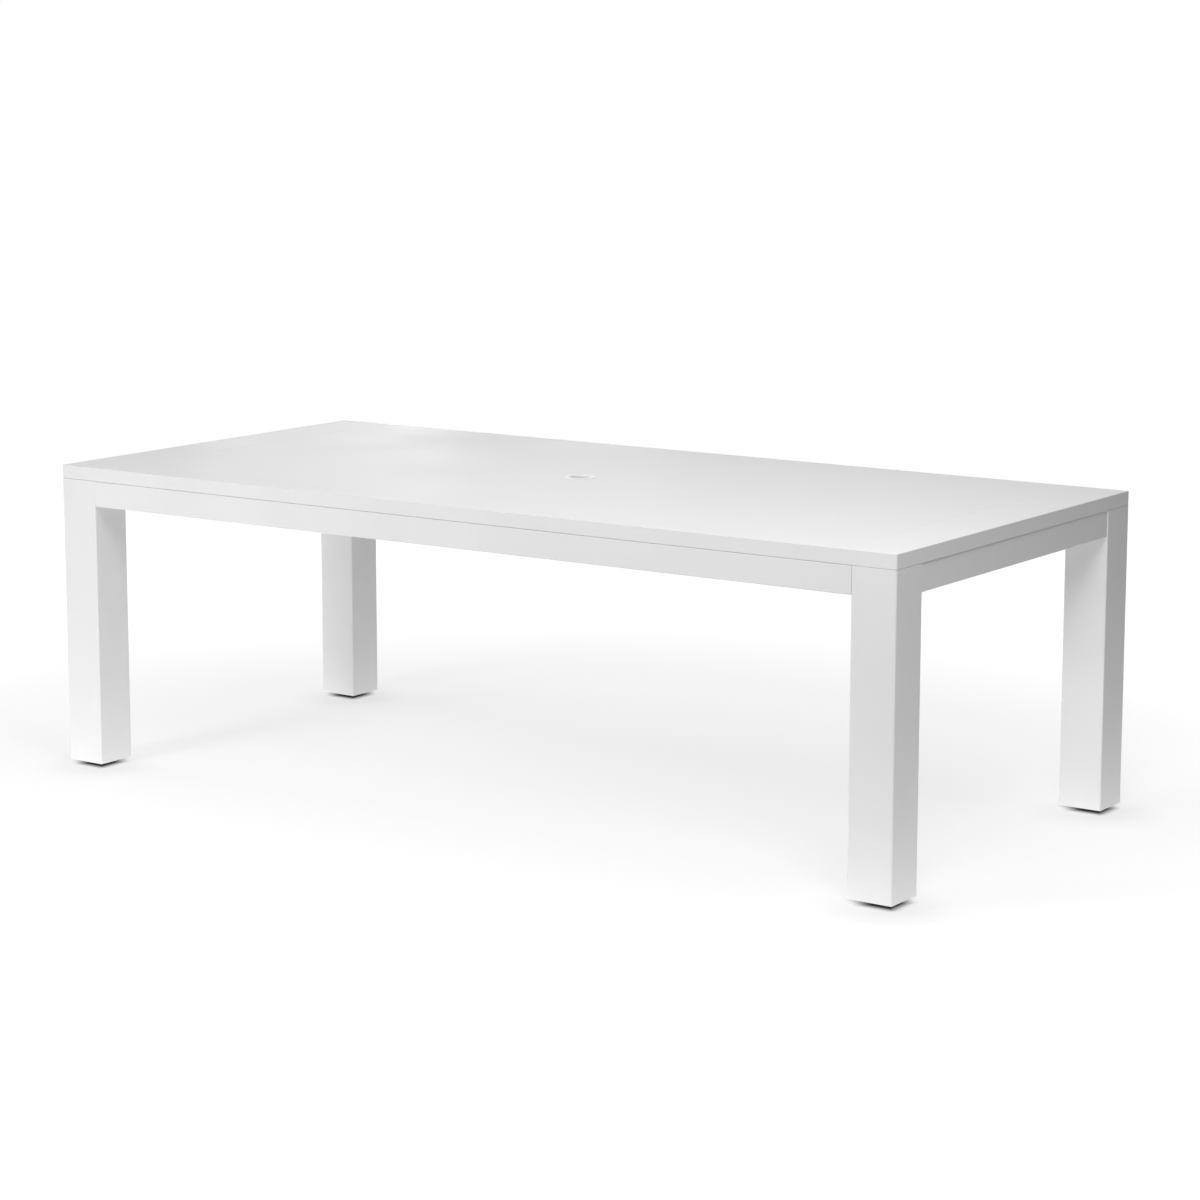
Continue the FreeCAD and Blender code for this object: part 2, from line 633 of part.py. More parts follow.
def button_screw(label, radius, length):
    """Pan-headed screw, head above Z = 0 and shank below."""
    screw = new_body(label)
    rise = f"rise_ratio * {radius}"
    shank = [("0", f"-{length}"), (radius, f"-{length}"), (radius, "0")]
    head = [(f"head_ratio * {radius}", "0"), (f"crown_ratio * {radius}", rise), ("0", rise)]
    revolve(screw, shank + head)
    return screw


bolt = new_body("bolt_pattern")
flange = sketch_on(bolt, "XY_Plane")
circle(flange, 0, 0, "bolt_flange")
pad(bolt, flange, "bolt_radius / 2")
head = sketch_on(bolt, "XY_Plane")
hexagon(head, "bolt_flats")
pad(bolt, head, "2 * bolt_radius")
shank = sketch_on(bolt, "XY_Plane")
circle(shank, 0, 0, "bolt_radius")
pad(bolt, shank, "bolt_length", backwards=True)

rivet_nut = new_body("rivet_nut_pattern")
thread = "bolt_radius + thread_slack"
collar_end = "-(leg_wall + nut_collar - nut_radius)"
nut_profile = [(thread, "0"), (thread, "-nut_length"), ("nut_radius", "-nut_length")]
nut_profile += [("nut_radius", collar_end), ("nut_collar", collar_end)]
nut_profile += [("nut_collar", "-leg_wall"), ("nut_radius", "-leg_wall")]
revolve(rivet_nut, nut_profile + [("nut_radius", "0")])

bracket_screw = button_screw("bracket_screw_pattern", "screw_radius", "screw_length")
small_screw = button_screw("small_screw_pattern", "small_radius", "small_length")

clip = new_body("clip_pattern")
angle = sketch_on(clip, "YZ_Plane")
outer_side = [("0", "0"), ("clip_side", "0"), ("clip_side", "-clip_thickness")]
inner_side = [("clip_thickness", "-clip_thickness"), ("clip_thickness", "-clip_side"), ("0", "-clip_side")]
polygon(angle, outer_side + inner_side)
pad(clip, angle, "clip_width", both_ways=True)
upper_hole = sketch_on(clip, "XY_Plane")
circle(upper_hole, 0, "clip_reach", "small_radius + hole_slack")
pocket(clip, upper_hole)
side_hole = sketch_on(clip, "XZ_Plane")
circle(side_hole, 0, "-clip_reach", "small_radius + hole_slack")
pocket(clip, side_hole)

spacer = new_body("spacer_pattern")
disc = sketch_on(spacer, "XY_Plane")
circle(disc, 0, 0, "spacer_radius")
pad(spacer, disc, "reveal")

half_length = sizes.table_length / 2
half_width = sizes.table_width / 2
slab_bottom = sizes.table_height - sizes.slab_thickness
base_top = slab_bottom - sizes.reveal
bracket_level = base_top - sizes.apron_height / 2
thick = sizes.bracket_thickness
to_long = sizes.leg_side - sizes.apron_depth
to_end = to_long - sizes.end_setback

bolt_places = []
nut_places = []
bracket_screw_places = []
for _, sign_x, sign_y in CORNERS:
    to_middle_x = V(-sign_x, 0, 0)
    to_middle_y = V(0, -sign_y, 0)
    inner_x = half_length - sizes.leg_side
    inner_y = half_width - sizes.leg_side
    inner_corner = V(sign_x * inner_x, sign_y * inner_y, bracket_level)
    for level in (-sizes.bolt_pitch / 2, sizes.bolt_pitch / 2):
        at = inner_corner + UP * level
        on_leg_x = at - to_middle_y * (to_long / 2)
        on_leg_y = at - to_middle_x * (to_end / 2)
        nut_places += [(on_leg_x, to_middle_x, 0), (on_leg_y, to_middle_y, 0)]
        bolt_places += [(on_leg_x + to_middle_x * thick, to_middle_x, 0)]
        bolt_places += [(on_leg_y + to_middle_y * thick, to_middle_y, 0)]
        on_long = at + to_middle_x * sizes.bracket_screw_reach - to_middle_y * (to_long - thick)
        on_end = at + to_middle_y * sizes.bracket_screw_reach - to_middle_x * (to_end - thick)
        bracket_screw_places += [(on_long, to_middle_y, 0), (on_end, to_middle_x, 0)]

clip_places = []
small_places = []
for side, turn in SIDES:
    facing = FreeCAD.Rotation(UP, turn)
    if side in ("front", "back"):
        reach = half_width - sizes.apron_depth
        stations = [-sizes.clip_pitch, 0, sizes.clip_pitch]
    else:
        reach = half_length - sizes.end_setback - sizes.apron_depth
        stations = [0]
    for station in stations:
        corner = facing.multVec(V(station, -reach, slab_bottom))
        inward = facing.multVec(V(0, 1, 0))
        clip_places.append((corner, UP, turn))
        up_screw = corner + inward * sizes.clip_reach - UP * sizes.clip_thickness
        side_screw = corner - UP * sizes.clip_reach + inward * sizes.clip_thickness
        small_places += [(up_screw, -UP, 0), (side_screw, inward, 0)]

for rib_place in (sizes.rib_near, sizes.rib_mid, sizes.rib_far):
    for x in (-rib_place, rib_place):
        for sign in (-1, 1):
            y = sign * (half_width - sizes.rail_width - sizes.panel_screw_reach)
            small_places.append((V(x, y, slab_bottom), -UP, 0))

guide_level = base_top - sizes.cross_height - sizes.guide_thickness
spacer_places = []
for sign_x in (-1, 1):
    for sign_y in (-1, 1):
        guide_hole = V(sign_x * sizes.cross_inner, sign_y * sizes.guide_screw_reach, guide_level)
        small_places.append((guide_hole, -UP, 0))
        leg_x = half_length - sizes.leg_side / 2
        leg_y = half_width - sizes.leg_side / 2
        spacer_places.append((V(sign_x * leg_x, sign_y * leg_y, base_top), UP, 0))
        y = sign_y * (half_width - sizes.apron_depth - sizes.spacer_reach)
        for x in (sizes.cross_inner, sizes.cross_outer):
            spacer_places.append((V(sign_x * x, y, base_top), UP, 0))

group("leg_bolts", bolt, bolt_places)
group("leg_rivet_nuts", rivet_nut, nut_places)
group("bracket_screws", bracket_screw, bracket_screw_places)
group("top_clips", clip, clip_places)
group("small_screws", small_screw, small_places)
group("top_spacers", spacer, spacer_places)

# Check every object, then write each piece under its own name

doc.recompute()
for item in doc.Objects:
    if "Invalid" in item.State or "Error" in item.State:
        raise RuntimeError(f"{item.Label} failed: {item.State}")
for node in nodes:
    if node.Shape.isNull() or not node.Shape.isValid():
        raise RuntimeError(f"{node.Label} has no valid shape")
os.makedirs("parts", exist_ok=True)
for node in nodes:
    node.Shape.exportStep(f"parts/{node.Label}.step")
print(len(nodes), "pieces written")
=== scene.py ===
import math
import bpy
import numpy as np
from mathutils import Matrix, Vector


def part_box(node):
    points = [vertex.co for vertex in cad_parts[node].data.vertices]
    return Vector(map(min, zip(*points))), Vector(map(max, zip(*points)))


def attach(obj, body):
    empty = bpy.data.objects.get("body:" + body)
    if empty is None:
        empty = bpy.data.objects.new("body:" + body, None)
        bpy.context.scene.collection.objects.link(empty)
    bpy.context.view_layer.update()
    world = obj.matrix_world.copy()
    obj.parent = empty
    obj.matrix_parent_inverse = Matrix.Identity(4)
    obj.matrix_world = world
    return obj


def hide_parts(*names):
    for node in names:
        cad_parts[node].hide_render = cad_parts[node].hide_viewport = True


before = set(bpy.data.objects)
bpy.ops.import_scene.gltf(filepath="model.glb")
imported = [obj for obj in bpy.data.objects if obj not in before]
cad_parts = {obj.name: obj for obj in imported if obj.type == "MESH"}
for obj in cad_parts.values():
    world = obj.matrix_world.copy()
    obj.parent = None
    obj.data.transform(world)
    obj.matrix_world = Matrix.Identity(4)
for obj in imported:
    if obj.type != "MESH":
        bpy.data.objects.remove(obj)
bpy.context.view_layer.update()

# Camera: a long lens at standing eye height, off the table's front right corner.
# Its place and turn were worked out from the table's own edges in the square photograph.
PHOTO_SIDE = 1200
FOCAL_PIXELS = 3130
CENTRE_PIXEL = (581.5, 539.5)
CAMERA_PLACE = (4.144, -5.919, 1.755)
CAMERA_TURN = math.radians(34.97)
CAMERA_DIP = math.radians(9.21)
SENSOR = 36
scene = bpy.context.scene
lens = bpy.data.cameras.new("photo_camera")
lens.sensor_width = SENSOR
lens.lens = SENSOR * FOCAL_PIXELS / PHOTO_SIDE
lens.shift_x = (PHOTO_SIDE / 2 - CENTRE_PIXEL[0]) / PHOTO_SIDE
lens.shift_y = (CENTRE_PIXEL[1] - PHOTO_SIDE / 2) / PHOTO_SIDE
camera = bpy.data.objects.new("photo_camera", lens)
camera.location = CAMERA_PLACE
camera.rotation_euler = (math.pi / 2 - CAMERA_DIP, 0, CAMERA_TURN)
scene.collection.objects.link(camera)
scene.camera = camera
scene.view_settings.view_transform = "Standard"

# Studio: white paper that runs out to white and is clear from below. The table's soft shadow on it
# is partly real and partly painted: the paper's seen glow is lower under and near the table, and
# painted shade darkens it under and round each foot. The camera and reflections see it on a white
# ground, and bounced light meets plainer paper, with a painted glow near the middle and round the
# feet, and a dim grey. Pairs of values run outwards, from the floor's middle or from a foot. Edges
# are in metres.
WHITE = (1, 1, 1, 1)
FLOOR_HALF = 60.0
FLOOR_BOUNCE = (0.8, 0.8, 0.8, 1)
FLOOR_SEEN = 0.34
FADE_CENTRE = (-0.19, -0.18, 0)
FADE_STRETCH = (1, 0.916, 1)
FADE_EDGE = (1.02, 3.22)
# Painted shadow of the table: the seen glow is lower near the floor's middle.
SEEN_GLOW = (0.713, 1.0)
# Painted light: the paper also glows onto the table, most near the middle and round each foot.
BOUNCE_GLOW = (0.39, 0.0)
FOOT_GLOW = (0.52, 0.0)
FOOT_GLOW_EDGE = (0.1, 0.6)
# Painted shadow under each foot and a painted soft shadow round it, shifted to the front right.
PAINTED_FOOT_SHADE = (0.03, 1.0)
PAINTED_FOOT_SHADE_SQUARE = (0.038, 0.072)
PAINTED_FOOT_SHADE_ROUND = (0.060, 0.090)
PAINTED_FOOT_SHADE_BAND = (0.026, 0.074)
PAINTED_FOOT_HALO = (0.86, 1.0)
PAINTED_FOOT_HALO_EDGE = (0.0, 0.18)
PAINTED_FOOT_HALO_SHIFT = (0.029, -0.041, 0)
ACROSS_BAND = (math.sqrt(0.5), math.sqrt(0.5), 0)
AMBIENT = 0.04
BACKGROUND = 1.0


def add(tree, kind, settings=None, **sockets):
    """Puts a node into a tree. Settings are its options, words its sockets: a value or a link."""
    node = tree.nodes.new(kind)
    for option, value in (settings or {}).items():
        setattr(node, option, value)
    for name, value in sockets.items():
        socket = node.inputs[name.replace("_", " ")]
        if isinstance(value, bpy.types.NodeSocket):
            tree.links.new(value, socket)
        else:
            socket.default_value = value
    return node


def start_material(name):
    """A material with an empty tree, and that tree."""
    material = bpy.data.materials.new(name)
    material.use_nodes = True
    material.node_tree.nodes.clear()
    return material, material.node_tree


def link_mesh(name, points, faces, material):
    """An object at the origin with these points and faces in its mesh."""
    mesh = bpy.data.meshes.new(name)
    mesh.from_pydata(points.reshape(-1, 3).tolist(), [], faces)
    mesh.materials.append(material)
    piece = bpy.data.objects.new(name, mesh)
    scene.collection.objects.link(piece)
    return piece


def between(tree, amount, ends):
    """A value that goes from the first end to the second as the amount goes from 0 to 1."""
    low, high = ends
    return add(tree, "ShaderNodeMapRange", Value=amount, To_Min=low, To_Max=high).outputs["Result"]


def soft_edge(tree, distance, edge):
    """A value that rises smoothly from 0 to 1 as the distance goes through the edge."""
    near, far = edge
    return add(tree, "ShaderNodeMapRange", {"interpolation_type": "SMOOTHSTEP"}, Value=distance,
               From_Min=near, From_Max=far).outputs["Result"]


def worked(tree, kind, operation, given, output):
    """The result of a mathematical node on links or values."""
    node = add(tree, kind, {"operation": operation})
    for socket, entry in zip(node.inputs, given):
        if isinstance(entry, bpy.types.NodeSocket):
            tree.links.new(entry, socket)
        else:
            socket.default_value = entry
    return node.outputs[output]


def number(tree, operation, *given):
    """A number worked out from numbers."""
    return worked(tree, "ShaderNodeMath", operation, given, "Value")


def vector(tree, operation, *given):
    """A vector worked out from vectors."""
    return worked(tree, "ShaderNodeVectorMath", operation, given, "Vector")


def measure(tree, operation, *given):
    """A number worked out from vectors."""
    return worked(tree, "ShaderNodeVectorMath", operation, given, "Value")


def looking_rays(tree):
    """1 for what is seen straight, in a reflection or through glass, and 0 for other light."""
    rays = add(tree, "ShaderNodeLightPath").outputs
    mirrored = number(tree, "MAXIMUM", rays["Is Glossy Ray"], rays["Is Transmission Ray"])
    return number(tree, "MAXIMUM", rays["Is Camera Ray"], mirrored)


def paper(tree, colour, glow):
    """Matt paper of a colour that also gives off this much light."""
    sheet = add(tree, "ShaderNodeBsdfDiffuse", Color=colour)
    light = add(tree, "ShaderNodeEmission", Strength=glow)
    both = add(tree, "ShaderNodeAddShader")
    tree.links.new(sheet.outputs["BSDF"], both.inputs[0])
    tree.links.new(light.outputs["Emission"], both.inputs[1])
    return both.outputs["Shader"]


floor_paper, tree = start_material("floor_paper")
place = add(tree, "ShaderNodeTexCoord").outputs["Object"]
moved = vector(tree, "SUBTRACT", place, FADE_CENTRE)
from_middle = measure(tree, "LENGTH", vector(tree, "DIVIDE", moved, FADE_STRETCH))
fade = soft_edge(tree, from_middle, FADE_EDGE)
leg_low, leg_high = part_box("leg_back_right")
leg_spot = ((leg_low.x + leg_high.x) / 2, (leg_low.y + leg_high.y) / 2, 0)
nearest_leg = vector(tree, "MULTIPLY", vector(tree, "SIGN", place), leg_spot)
from_leg = vector(tree, "SUBTRACT", place, nearest_leg)
off_leg = measure(tree, "LENGTH", from_leg)
near_foot = soft_edge(tree, off_leg, FOOT_GLOW_EDGE)
# Painted shadow: the paper is dark under each foot along the diagonal from its front right to its back
# left corner, and a painted soft shadow lies round it. Both darken the seen paper.
apart = add(tree, "ShaderNodeSeparateXYZ", Vector=vector(tree, "ABSOLUTE", from_leg)).outputs
past_side = soft_edge(tree, number(tree, "MAXIMUM", apart["X"], apart["Y"]), PAINTED_FOOT_SHADE_SQUARE)
past_corner = soft_edge(tree, off_leg, PAINTED_FOOT_SHADE_ROUND)
across = number(tree, "ABSOLUTE", measure(tree, "DOT_PRODUCT", from_leg, ACROSS_BAND))
painted_band_shade = between(tree, soft_edge(tree, across, PAINTED_FOOT_SHADE_BAND), PAINTED_FOOT_SHADE)
past_leg = number(tree, "MAXIMUM", past_side, past_corner)
open_floor = number(tree, "MAXIMUM", past_leg, painted_band_shade)
off_painted_halo = measure(tree, "DISTANCE", from_leg, PAINTED_FOOT_HALO_SHIFT)
painted_halo = between(tree, soft_edge(tree, off_painted_halo, PAINTED_FOOT_HALO_EDGE), PAINTED_FOOT_HALO)
painted_shading = number(tree, "MULTIPLY", open_floor, painted_halo)
# The seen glow carries the painted shadow of the table and the painted shadow of the feet.
seen_glow = number(tree, "MULTIPLY", painted_shading, between(tree, fade, SEEN_GLOW))
# Painted light from the paper, near each foot and near the floor's middle.
foot_glow = between(tree, near_foot, FOOT_GLOW)
bounce_glow = number(tree, "ADD", between(tree, fade, BOUNCE_GLOW), foot_glow)
above = add(tree, "ShaderNodeMixShader", Fac=looking_rays(tree))
tree.links.new(paper(tree, FLOOR_BOUNCE, bounce_glow), above.inputs[1])
tree.links.new(paper(tree, between(tree, painted_shading, (0, FLOOR_SEEN)), seen_glow), above.inputs[2])
below = add(tree, "ShaderNodeBsdfTransparent")
side = add(tree, "ShaderNodeNewGeometry")
whole = add(tree, "ShaderNodeMixShader", Fac=side.outputs["Backfacing"])
tree.links.new(above.outputs["Shader"], whole.inputs[1])
tree.links.new(below.outputs["BSDF"], whole.inputs[2])
add(tree, "ShaderNodeOutputMaterial", Surface=whole.outputs["Shader"])
floor_paper.cycles.emission_sampling = "NONE"
corners = FLOOR_HALF * np.array([[-1, -1, 0], [1, -1, 0], [1, 1, 0], [-1, 1, 0]])
link_mesh("studio_floor", corners, [[0, 1, 2, 3]], floor_paper)

world = bpy.data.worlds.new("studio")
world.use_nodes = True
scene.world = world
tree = world.node_tree
tree.nodes.clear()
dim = add(tree, "ShaderNodeBackground", Color=WHITE, Strength=AMBIENT)
bright = add(tree, "ShaderNodeBackground", Color=WHITE, Strength=BACKGROUND)
around = add(tree, "ShaderNodeMixShader", Fac=looking_rays(tree))
tree.links.new(dim.outputs["Background"], around.inputs[1])
tree.links.new(bright.outputs["Background"], around.inputs[2])
add(tree, "ShaderNodeOutputWorld", Surface=around.outputs["Shader"])


def softbox(name, place, aim, width, height, watts):
    """A rectangular lamp at a place, turned to face a point."""
    lamp = bpy.data.lights.new(name, "AREA")
    lamp.shape = "RECTANGLE"
    lamp.size = width
    lamp.size_y = height
    lamp.energy = watts
    box = bpy.data.objects.new(name, lamp)
    x, y, z = (a - p for a, p in zip(aim, place))
    box.location = place
    box.rotation_euler = (math.atan2(math.hypot(x, y), -z), 0, math.atan2(-x, y))
    box.visible_camera = False
    scene.collection.objects.link(box)


softbox("key", place=(-1.45, -2.9, 1.2), aim=(-0.3, 0, 0.4), width=0.7, height=0.7, watts=36.5)
softbox("near_corner", place=(1.8, -1.5, 2.2), aim=(0.8, -0.3, 0.5), width=1, height=1, watts=28.3)
softbox("overhead", place=(0, 0, 3), aim=(0, 0, 0), width=3, height=2, watts=35.9)
softbox("left", place=(-3.5, 0, 2), aim=(0, 0, 0.4), width=2, height=1.5, watts=17.3)
softbox("far_rim", place=(-2.6, 3.2, 1.0), aim=(-0.6, 0.2, 0.73), width=1.2, height=0.5, watts=2.8)
softbox("near_rim", place=(-1.9, 1.36, 0.85), aim=(-0.8, 0.3, 0.73), width=0.8, height=0.2,
        watts=1.35)

# Legs: square aluminium tube, closed at the top by a flush cap and near the foot by a recessed
# plate that is stitched in with short welds. All of it is powder coated white, with a satin gloss
# and the faint orange peel of a baked coat.
COAT_WHITE = (0.80, 0.80, 0.80, 1)
COAT_SHADE = (0.775, 0.775, 0.773, 1)
COAT_GLOSS = (0.40, 0.48)
COAT_CLOUD = 0.22
PEEL_SIZE = 0.0022
PEEL_DEPTH = 0.00002
CLOUD_DETAIL = 3.0
CLOUD_SPREAD = (0.32, 0.68)
GRAIN_DETAIL = 1.0
SHARP_ANGLE = math.radians(32)
LEG_WALL = 0.003
BEAD_SIDE = 0.004
BEAD_PITCH = 0.0022
BEAD_RIPPLE = 0.06
BEAD_LAG = 0.8
BEAD_BULGE = 0.16
BEAD_SINK = 0.0003
BEAD_TAPER = 0.96
BEAD_ROWS = 81
BEAD_COLUMNS = 8
STITCH_HALF = 0.018
UP = np.array([0.0, 0.0, 1.0])
SIGNS = {"front_left": (-1, -1), "front_right": (1, -1), "back_left": (-1, 1), "back_right": (1, 1)}


def start_group(name, inputs, outputs):
    """A shader group: its tree, what it is given and where its results go."""
    group = bpy.data.node_groups.new(name, "ShaderNodeTree")
    for word, kind in inputs.items():
        group.interface.new_socket(word, in_out="INPUT", socket_type=kind)
    for word, kind in outputs.items():
        group.interface.new_socket(word, in_out="OUTPUT", socket_type=kind)
    return group, add(group, "NodeGroupInput").outputs, add(group, "NodeGroupOutput").inputs


VALUE = "NodeSocketFloat"
VECTOR = "NodeSocketVector"

# Soft clouds: broad uneven patches from 0 to 1, about as large as the given size in metres.
soft_clouds, given, result = start_group("soft_clouds", {"Size": VALUE}, {"Amount": VALUE})
place = add(soft_clouds, "ShaderNodeTexCoord").outputs["Object"]
steps = vector(soft_clouds, "DIVIDE", place, given["Size"])
patches = add(soft_clouds, "ShaderNodeTexNoise", Vector=steps, Scale=1.0, Detail=CLOUD_DETAIL)
spread = add(soft_clouds, "ShaderNodeMapRange", Value=patches.outputs["Fac"],
             From_Min=CLOUD_SPREAD[0], From_Max=CLOUD_SPREAD[1])
soft_clouds.links.new(spread.outputs["Result"], result["Amount"])

# Fine grain: small even bumps from 0 to 1. The grain is stretched along an axis whose size is larger.
fine_grain, given, result = start_group("fine_grain", {"Size": VECTOR}, {"Height": VALUE})
place = add(fine_grain, "ShaderNodeTexCoord").outputs["Object"]
steps = vector(fine_grain, "DIVIDE", place, given["Size"])
bumps = add(fine_grain, "ShaderNodeTexNoise", Vector=steps, Scale=1.0, Detail=GRAIN_DETAIL)
fine_grain.links.new(bumps.outputs["Fac"], result["Height"])


def clouds(tree, size):
    """Soft clouds of one size, placed in a material."""
    return add(tree, "ShaderNodeGroup", {"node_tree": soft_clouds}, Size=size).outputs["Amount"]


def grain(tree, x, y, z):
    """Fine grain with its own size along each axis, placed in a material."""
    return add(tree, "ShaderNodeGroup", {"node_tree": fine_grain}, Size=(x, y, z)).outputs["Height"]


def tint(tree, amount, low, high):
    """A colour that goes from low to high as the amount goes from 0 to 1."""
    ramp = add(tree, "ShaderNodeValToRGB", Fac=amount)
    ramp.color_ramp.elements[0].color = low
    ramp.color_ramp.elements[1].color = high
    return ramp.outputs["Color"]


def relief(tree, height, depth):
    """A normal from a height of 0 to 1 that stands for this depth in metres."""
    return add(tree, "ShaderNodeBump", Height=height, Distance=depth).outputs["Normal"]


def surface(name, tints, cloud, gloss, grain_size, depth, **sockets):
    """A material whose colour and gloss drift in soft clouds, with an even fine grain in relief.
    Sockets of its shader that are the same all over are given by name."""
    material, tree = start_material(name)
    patch = clouds(tree, cloud)
    height = grain(tree, grain_size, grain_size, grain_size)
    shader = add(tree, "ShaderNodeBsdfPrincipled", Base_Color=tint(tree, patch, *tints),
                 Roughness=between(tree, patch, gloss), Normal=relief(tree, height, depth), **sockets)
    add(tree, "ShaderNodeOutputMaterial", Surface=shader.outputs["BSDF"])
    return material


powder_coat = surface("white_powder_coat", (COAT_SHADE, COAT_WHITE), COAT_CLOUD, COAT_GLOSS,
                      PEEL_SIZE, PEEL_DEPTH)


def finish(material, *names):
    """Gives CAD pieces this finish."""
    for name in names:
        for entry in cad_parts[name].material_slots:
            entry.material = material


def ring_stack(name, rings, material, body, ring_shaped=False):
    """A closed piece from rings of points, an array of copies by rings by points by three.
    Neighbouring rings are joined by quads. The first and last rings are joined to each other
    in a ring-shaped piece, and otherwise each is closed by a fan to its middle."""
    copies, rows, columns, _ = rings.shape
    index = np.arange(copies * rows * columns).reshape(copies, rows, columns)
    if ring_shaped:
        index = np.concatenate([index, index[:, :1]], axis=1)
    ahead = np.roll(index, -1, axis=2)
    walls = np.stack([index[:, :-1], ahead[:, :-1], ahead[:, 1:], index[:, 1:]], axis=-1)
    points = rings.reshape(-1, 3)
    faces = walls.reshape(-1, 4).tolist()
    if not ring_shaped:
        middles = rings[:, [0, -1]].mean(axis=2)
        tips = len(points) + np.arange(2 * copies).reshape(copies, 2, 1)
        points = np.concatenate([points, middles.reshape(-1, 3)])
        lower = np.broadcast_to(tips[:, 0], index[:, 0].shape)
        upper = np.broadcast_to(tips[:, 1], index[:, -1].shape)
        faces += np.stack([ahead[:, 0], index[:, 0], lower], axis=-1).reshape(-1, 3).tolist()
        faces += np.stack([index[:, -1], ahead[:, -1], upper], axis=-1).reshape(-1, 3).tolist()
    piece = link_mesh(name, points, faces, material)
    piece.data.polygons.foreach_set("use_smooth", np.ones(len(faces), dtype=bool))
    piece.data.set_sharp_from_angle(angle=SHARP_ANGLE)
    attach(piece, body)
    return piece


def weld_beads(name, starts, ends, floors, walls):
    """Fillet welds, each along a line where two faces meet. Floors and walls are the directions
    in which the bead lies on either face. At u from 0 to 1 along the line and angle a from 0 to
    90 degrees between the faces, a point is line(u) + r (floor cos a + wall sin a), with r the
    chord between the faces, bulged, rippled along the line and rounded off at both ends."""
    turn = np.sum(np.cross(floors, walls) * (ends - starts), axis=1) < 0
    starts, ends = np.where(turn[:, None], ends, starts), np.where(turn[:, None], starts, ends)
    u = np.linspace(0, 1, BEAD_ROWS)[None, :, None]
    a = np.linspace(0, math.pi / 2, BEAD_COLUMNS)[None, None, :]
    length = np.linalg.norm(ends - starts, axis=1)[:, None, None]
    to_end = np.clip(1 - np.minimum(u, 1 - u) * length / BEAD_SIDE, 0, 1)
    rounded = np.sqrt(1 - BEAD_TAPER * to_end ** 2)
    chord = (1 + BEAD_BULGE * np.sin(2 * a)) / (np.cos(a) + np.sin(a))
    wave = np.sin(2 * math.pi * (u * length - BEAD_LAG * BEAD_SIDE * np.sin(2 * a)) / BEAD_PITCH)
    radius = (BEAD_SIDE * rounded * chord * (1 + BEAD_RIPPLE * wave))[..., None]
    line = (starts[:, None] + (ends - starts)[:, None] * u[..., 0, None])[:, :, None]
    on_floor = floors[:, None, None] * np.cos(a)[..., None]
    on_wall = walls[:, None, None] * np.sin(a)[..., None]
    root = line - BEAD_SINK * (floors + walls)[:, None, None]
    rings = np.concatenate([line + radius * (on_floor + on_wall), root], axis=2)
    ring_stack(name, rings, powder_coat, "table")


outwards = np.array([[1, 0, 0], [0, 1, 0], [-1, 0, 0], [0, -1, 0]], dtype=float)
along = np.roll(outwards, 1, axis=0)
for corner in SIGNS:
    finish(powder_coat, f"leg_{corner}", f"leg_cap_{corner}", f"foot_plate_{corner}")
    leg_low, leg_high = (np.array(end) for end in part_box(f"leg_{corner}"))
    middle = (leg_low + leg_high) / 2
    middle[2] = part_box(f"foot_plate_{corner}")[0].z
    wall_lines = middle + outwards * ((leg_high - leg_low)[0] / 2 - LEG_WALL)
    weld_beads(f"foot_plate_welds_{corner}", wall_lines - along * STITCH_HALF,
               wall_lines + along * STITCH_HALF, -outwards, np.tile(-UP, (4, 1)))

# Levelling glides: a zinc-plated steel stem turns in a weld nut on the foot plate and in the socket
# of a black nylon pad, so that each leg can be screwed up to meet an uneven floor. The thread is
# rolled, 1.5 mm a turn, and the hexagon is chamfered as it is cut from bar.
ZINC_BLUE = (0.60, 0.615, 0.64, 1)
ZINC_WARM = (0.64, 0.625, 0.57, 1)
ZINC_GLOSS = (0.24, 0.42)
ZINC_CLOUD = 0.006
ZINC_GRAIN = 0.0004
ZINC_DEPTH = 0.000006
NYLON_DARK = (0.012, 0.012, 0.013, 1)
NYLON_PALE = (0.030, 0.030, 0.032, 1)
NYLON_GLOSS = (0.48, 0.66)
NYLON_CLOUD = 0.015
NYLON_GRAIN = 0.0007
NYLON_DEPTH = 0.00002
THREAD_PITCH = 0.0015
THREAD_DEPTH = 0.0009
THREAD_CREST = 0.125
THREAD_FLANK = 0.625
STEM_RADIUS = 0.005
STEM_CHAMFER = 0.001
ROUND_COLUMNS = 48
BAR_CHAMFER = math.tan(math.radians(60))
BAR_FACE = 0.97
HEXAGON_ROWS = 13
ROWS_PER_PITCH = 8

zinc_steel = surface("zinc_steel", (ZINC_WARM, ZINC_BLUE), ZINC_CLOUD, ZINC_GLOSS,
                     ZINC_GRAIN, ZINC_DEPTH, Metallic=1.0)
black_nylon = surface("black_nylon", (NYLON_DARK, NYLON_PALE), NYLON_CLOUD, NYLON_GLOSS,
                      NYLON_GRAIN, NYLON_DEPTH)
round_angle = np.arange(ROUND_COLUMNS) * 2 * math.pi / ROUND_COLUMNS


def hexagon(flats):
    """Radius of a hexagon at each column's angle, with a corner at angle 0:
    half the width across flats over the cosine of the angle from the nearest flat's middle."""
    return flats / 2 / np.cos(round_angle % (math.pi / 3) - math.pi / 6)


def bar_hexagon(flats, to_face):
    """Radius of a hexagon whose corners are turned down to a cone, by distance from its face:
    the smaller of the hexagon's radius and that of a cone that leans 60 degrees from the axis."""
    cone = BAR_FACE * flats / 2 + BAR_CHAMFER * to_face
    return np.minimum(hexagon(flats), cone[:, None])


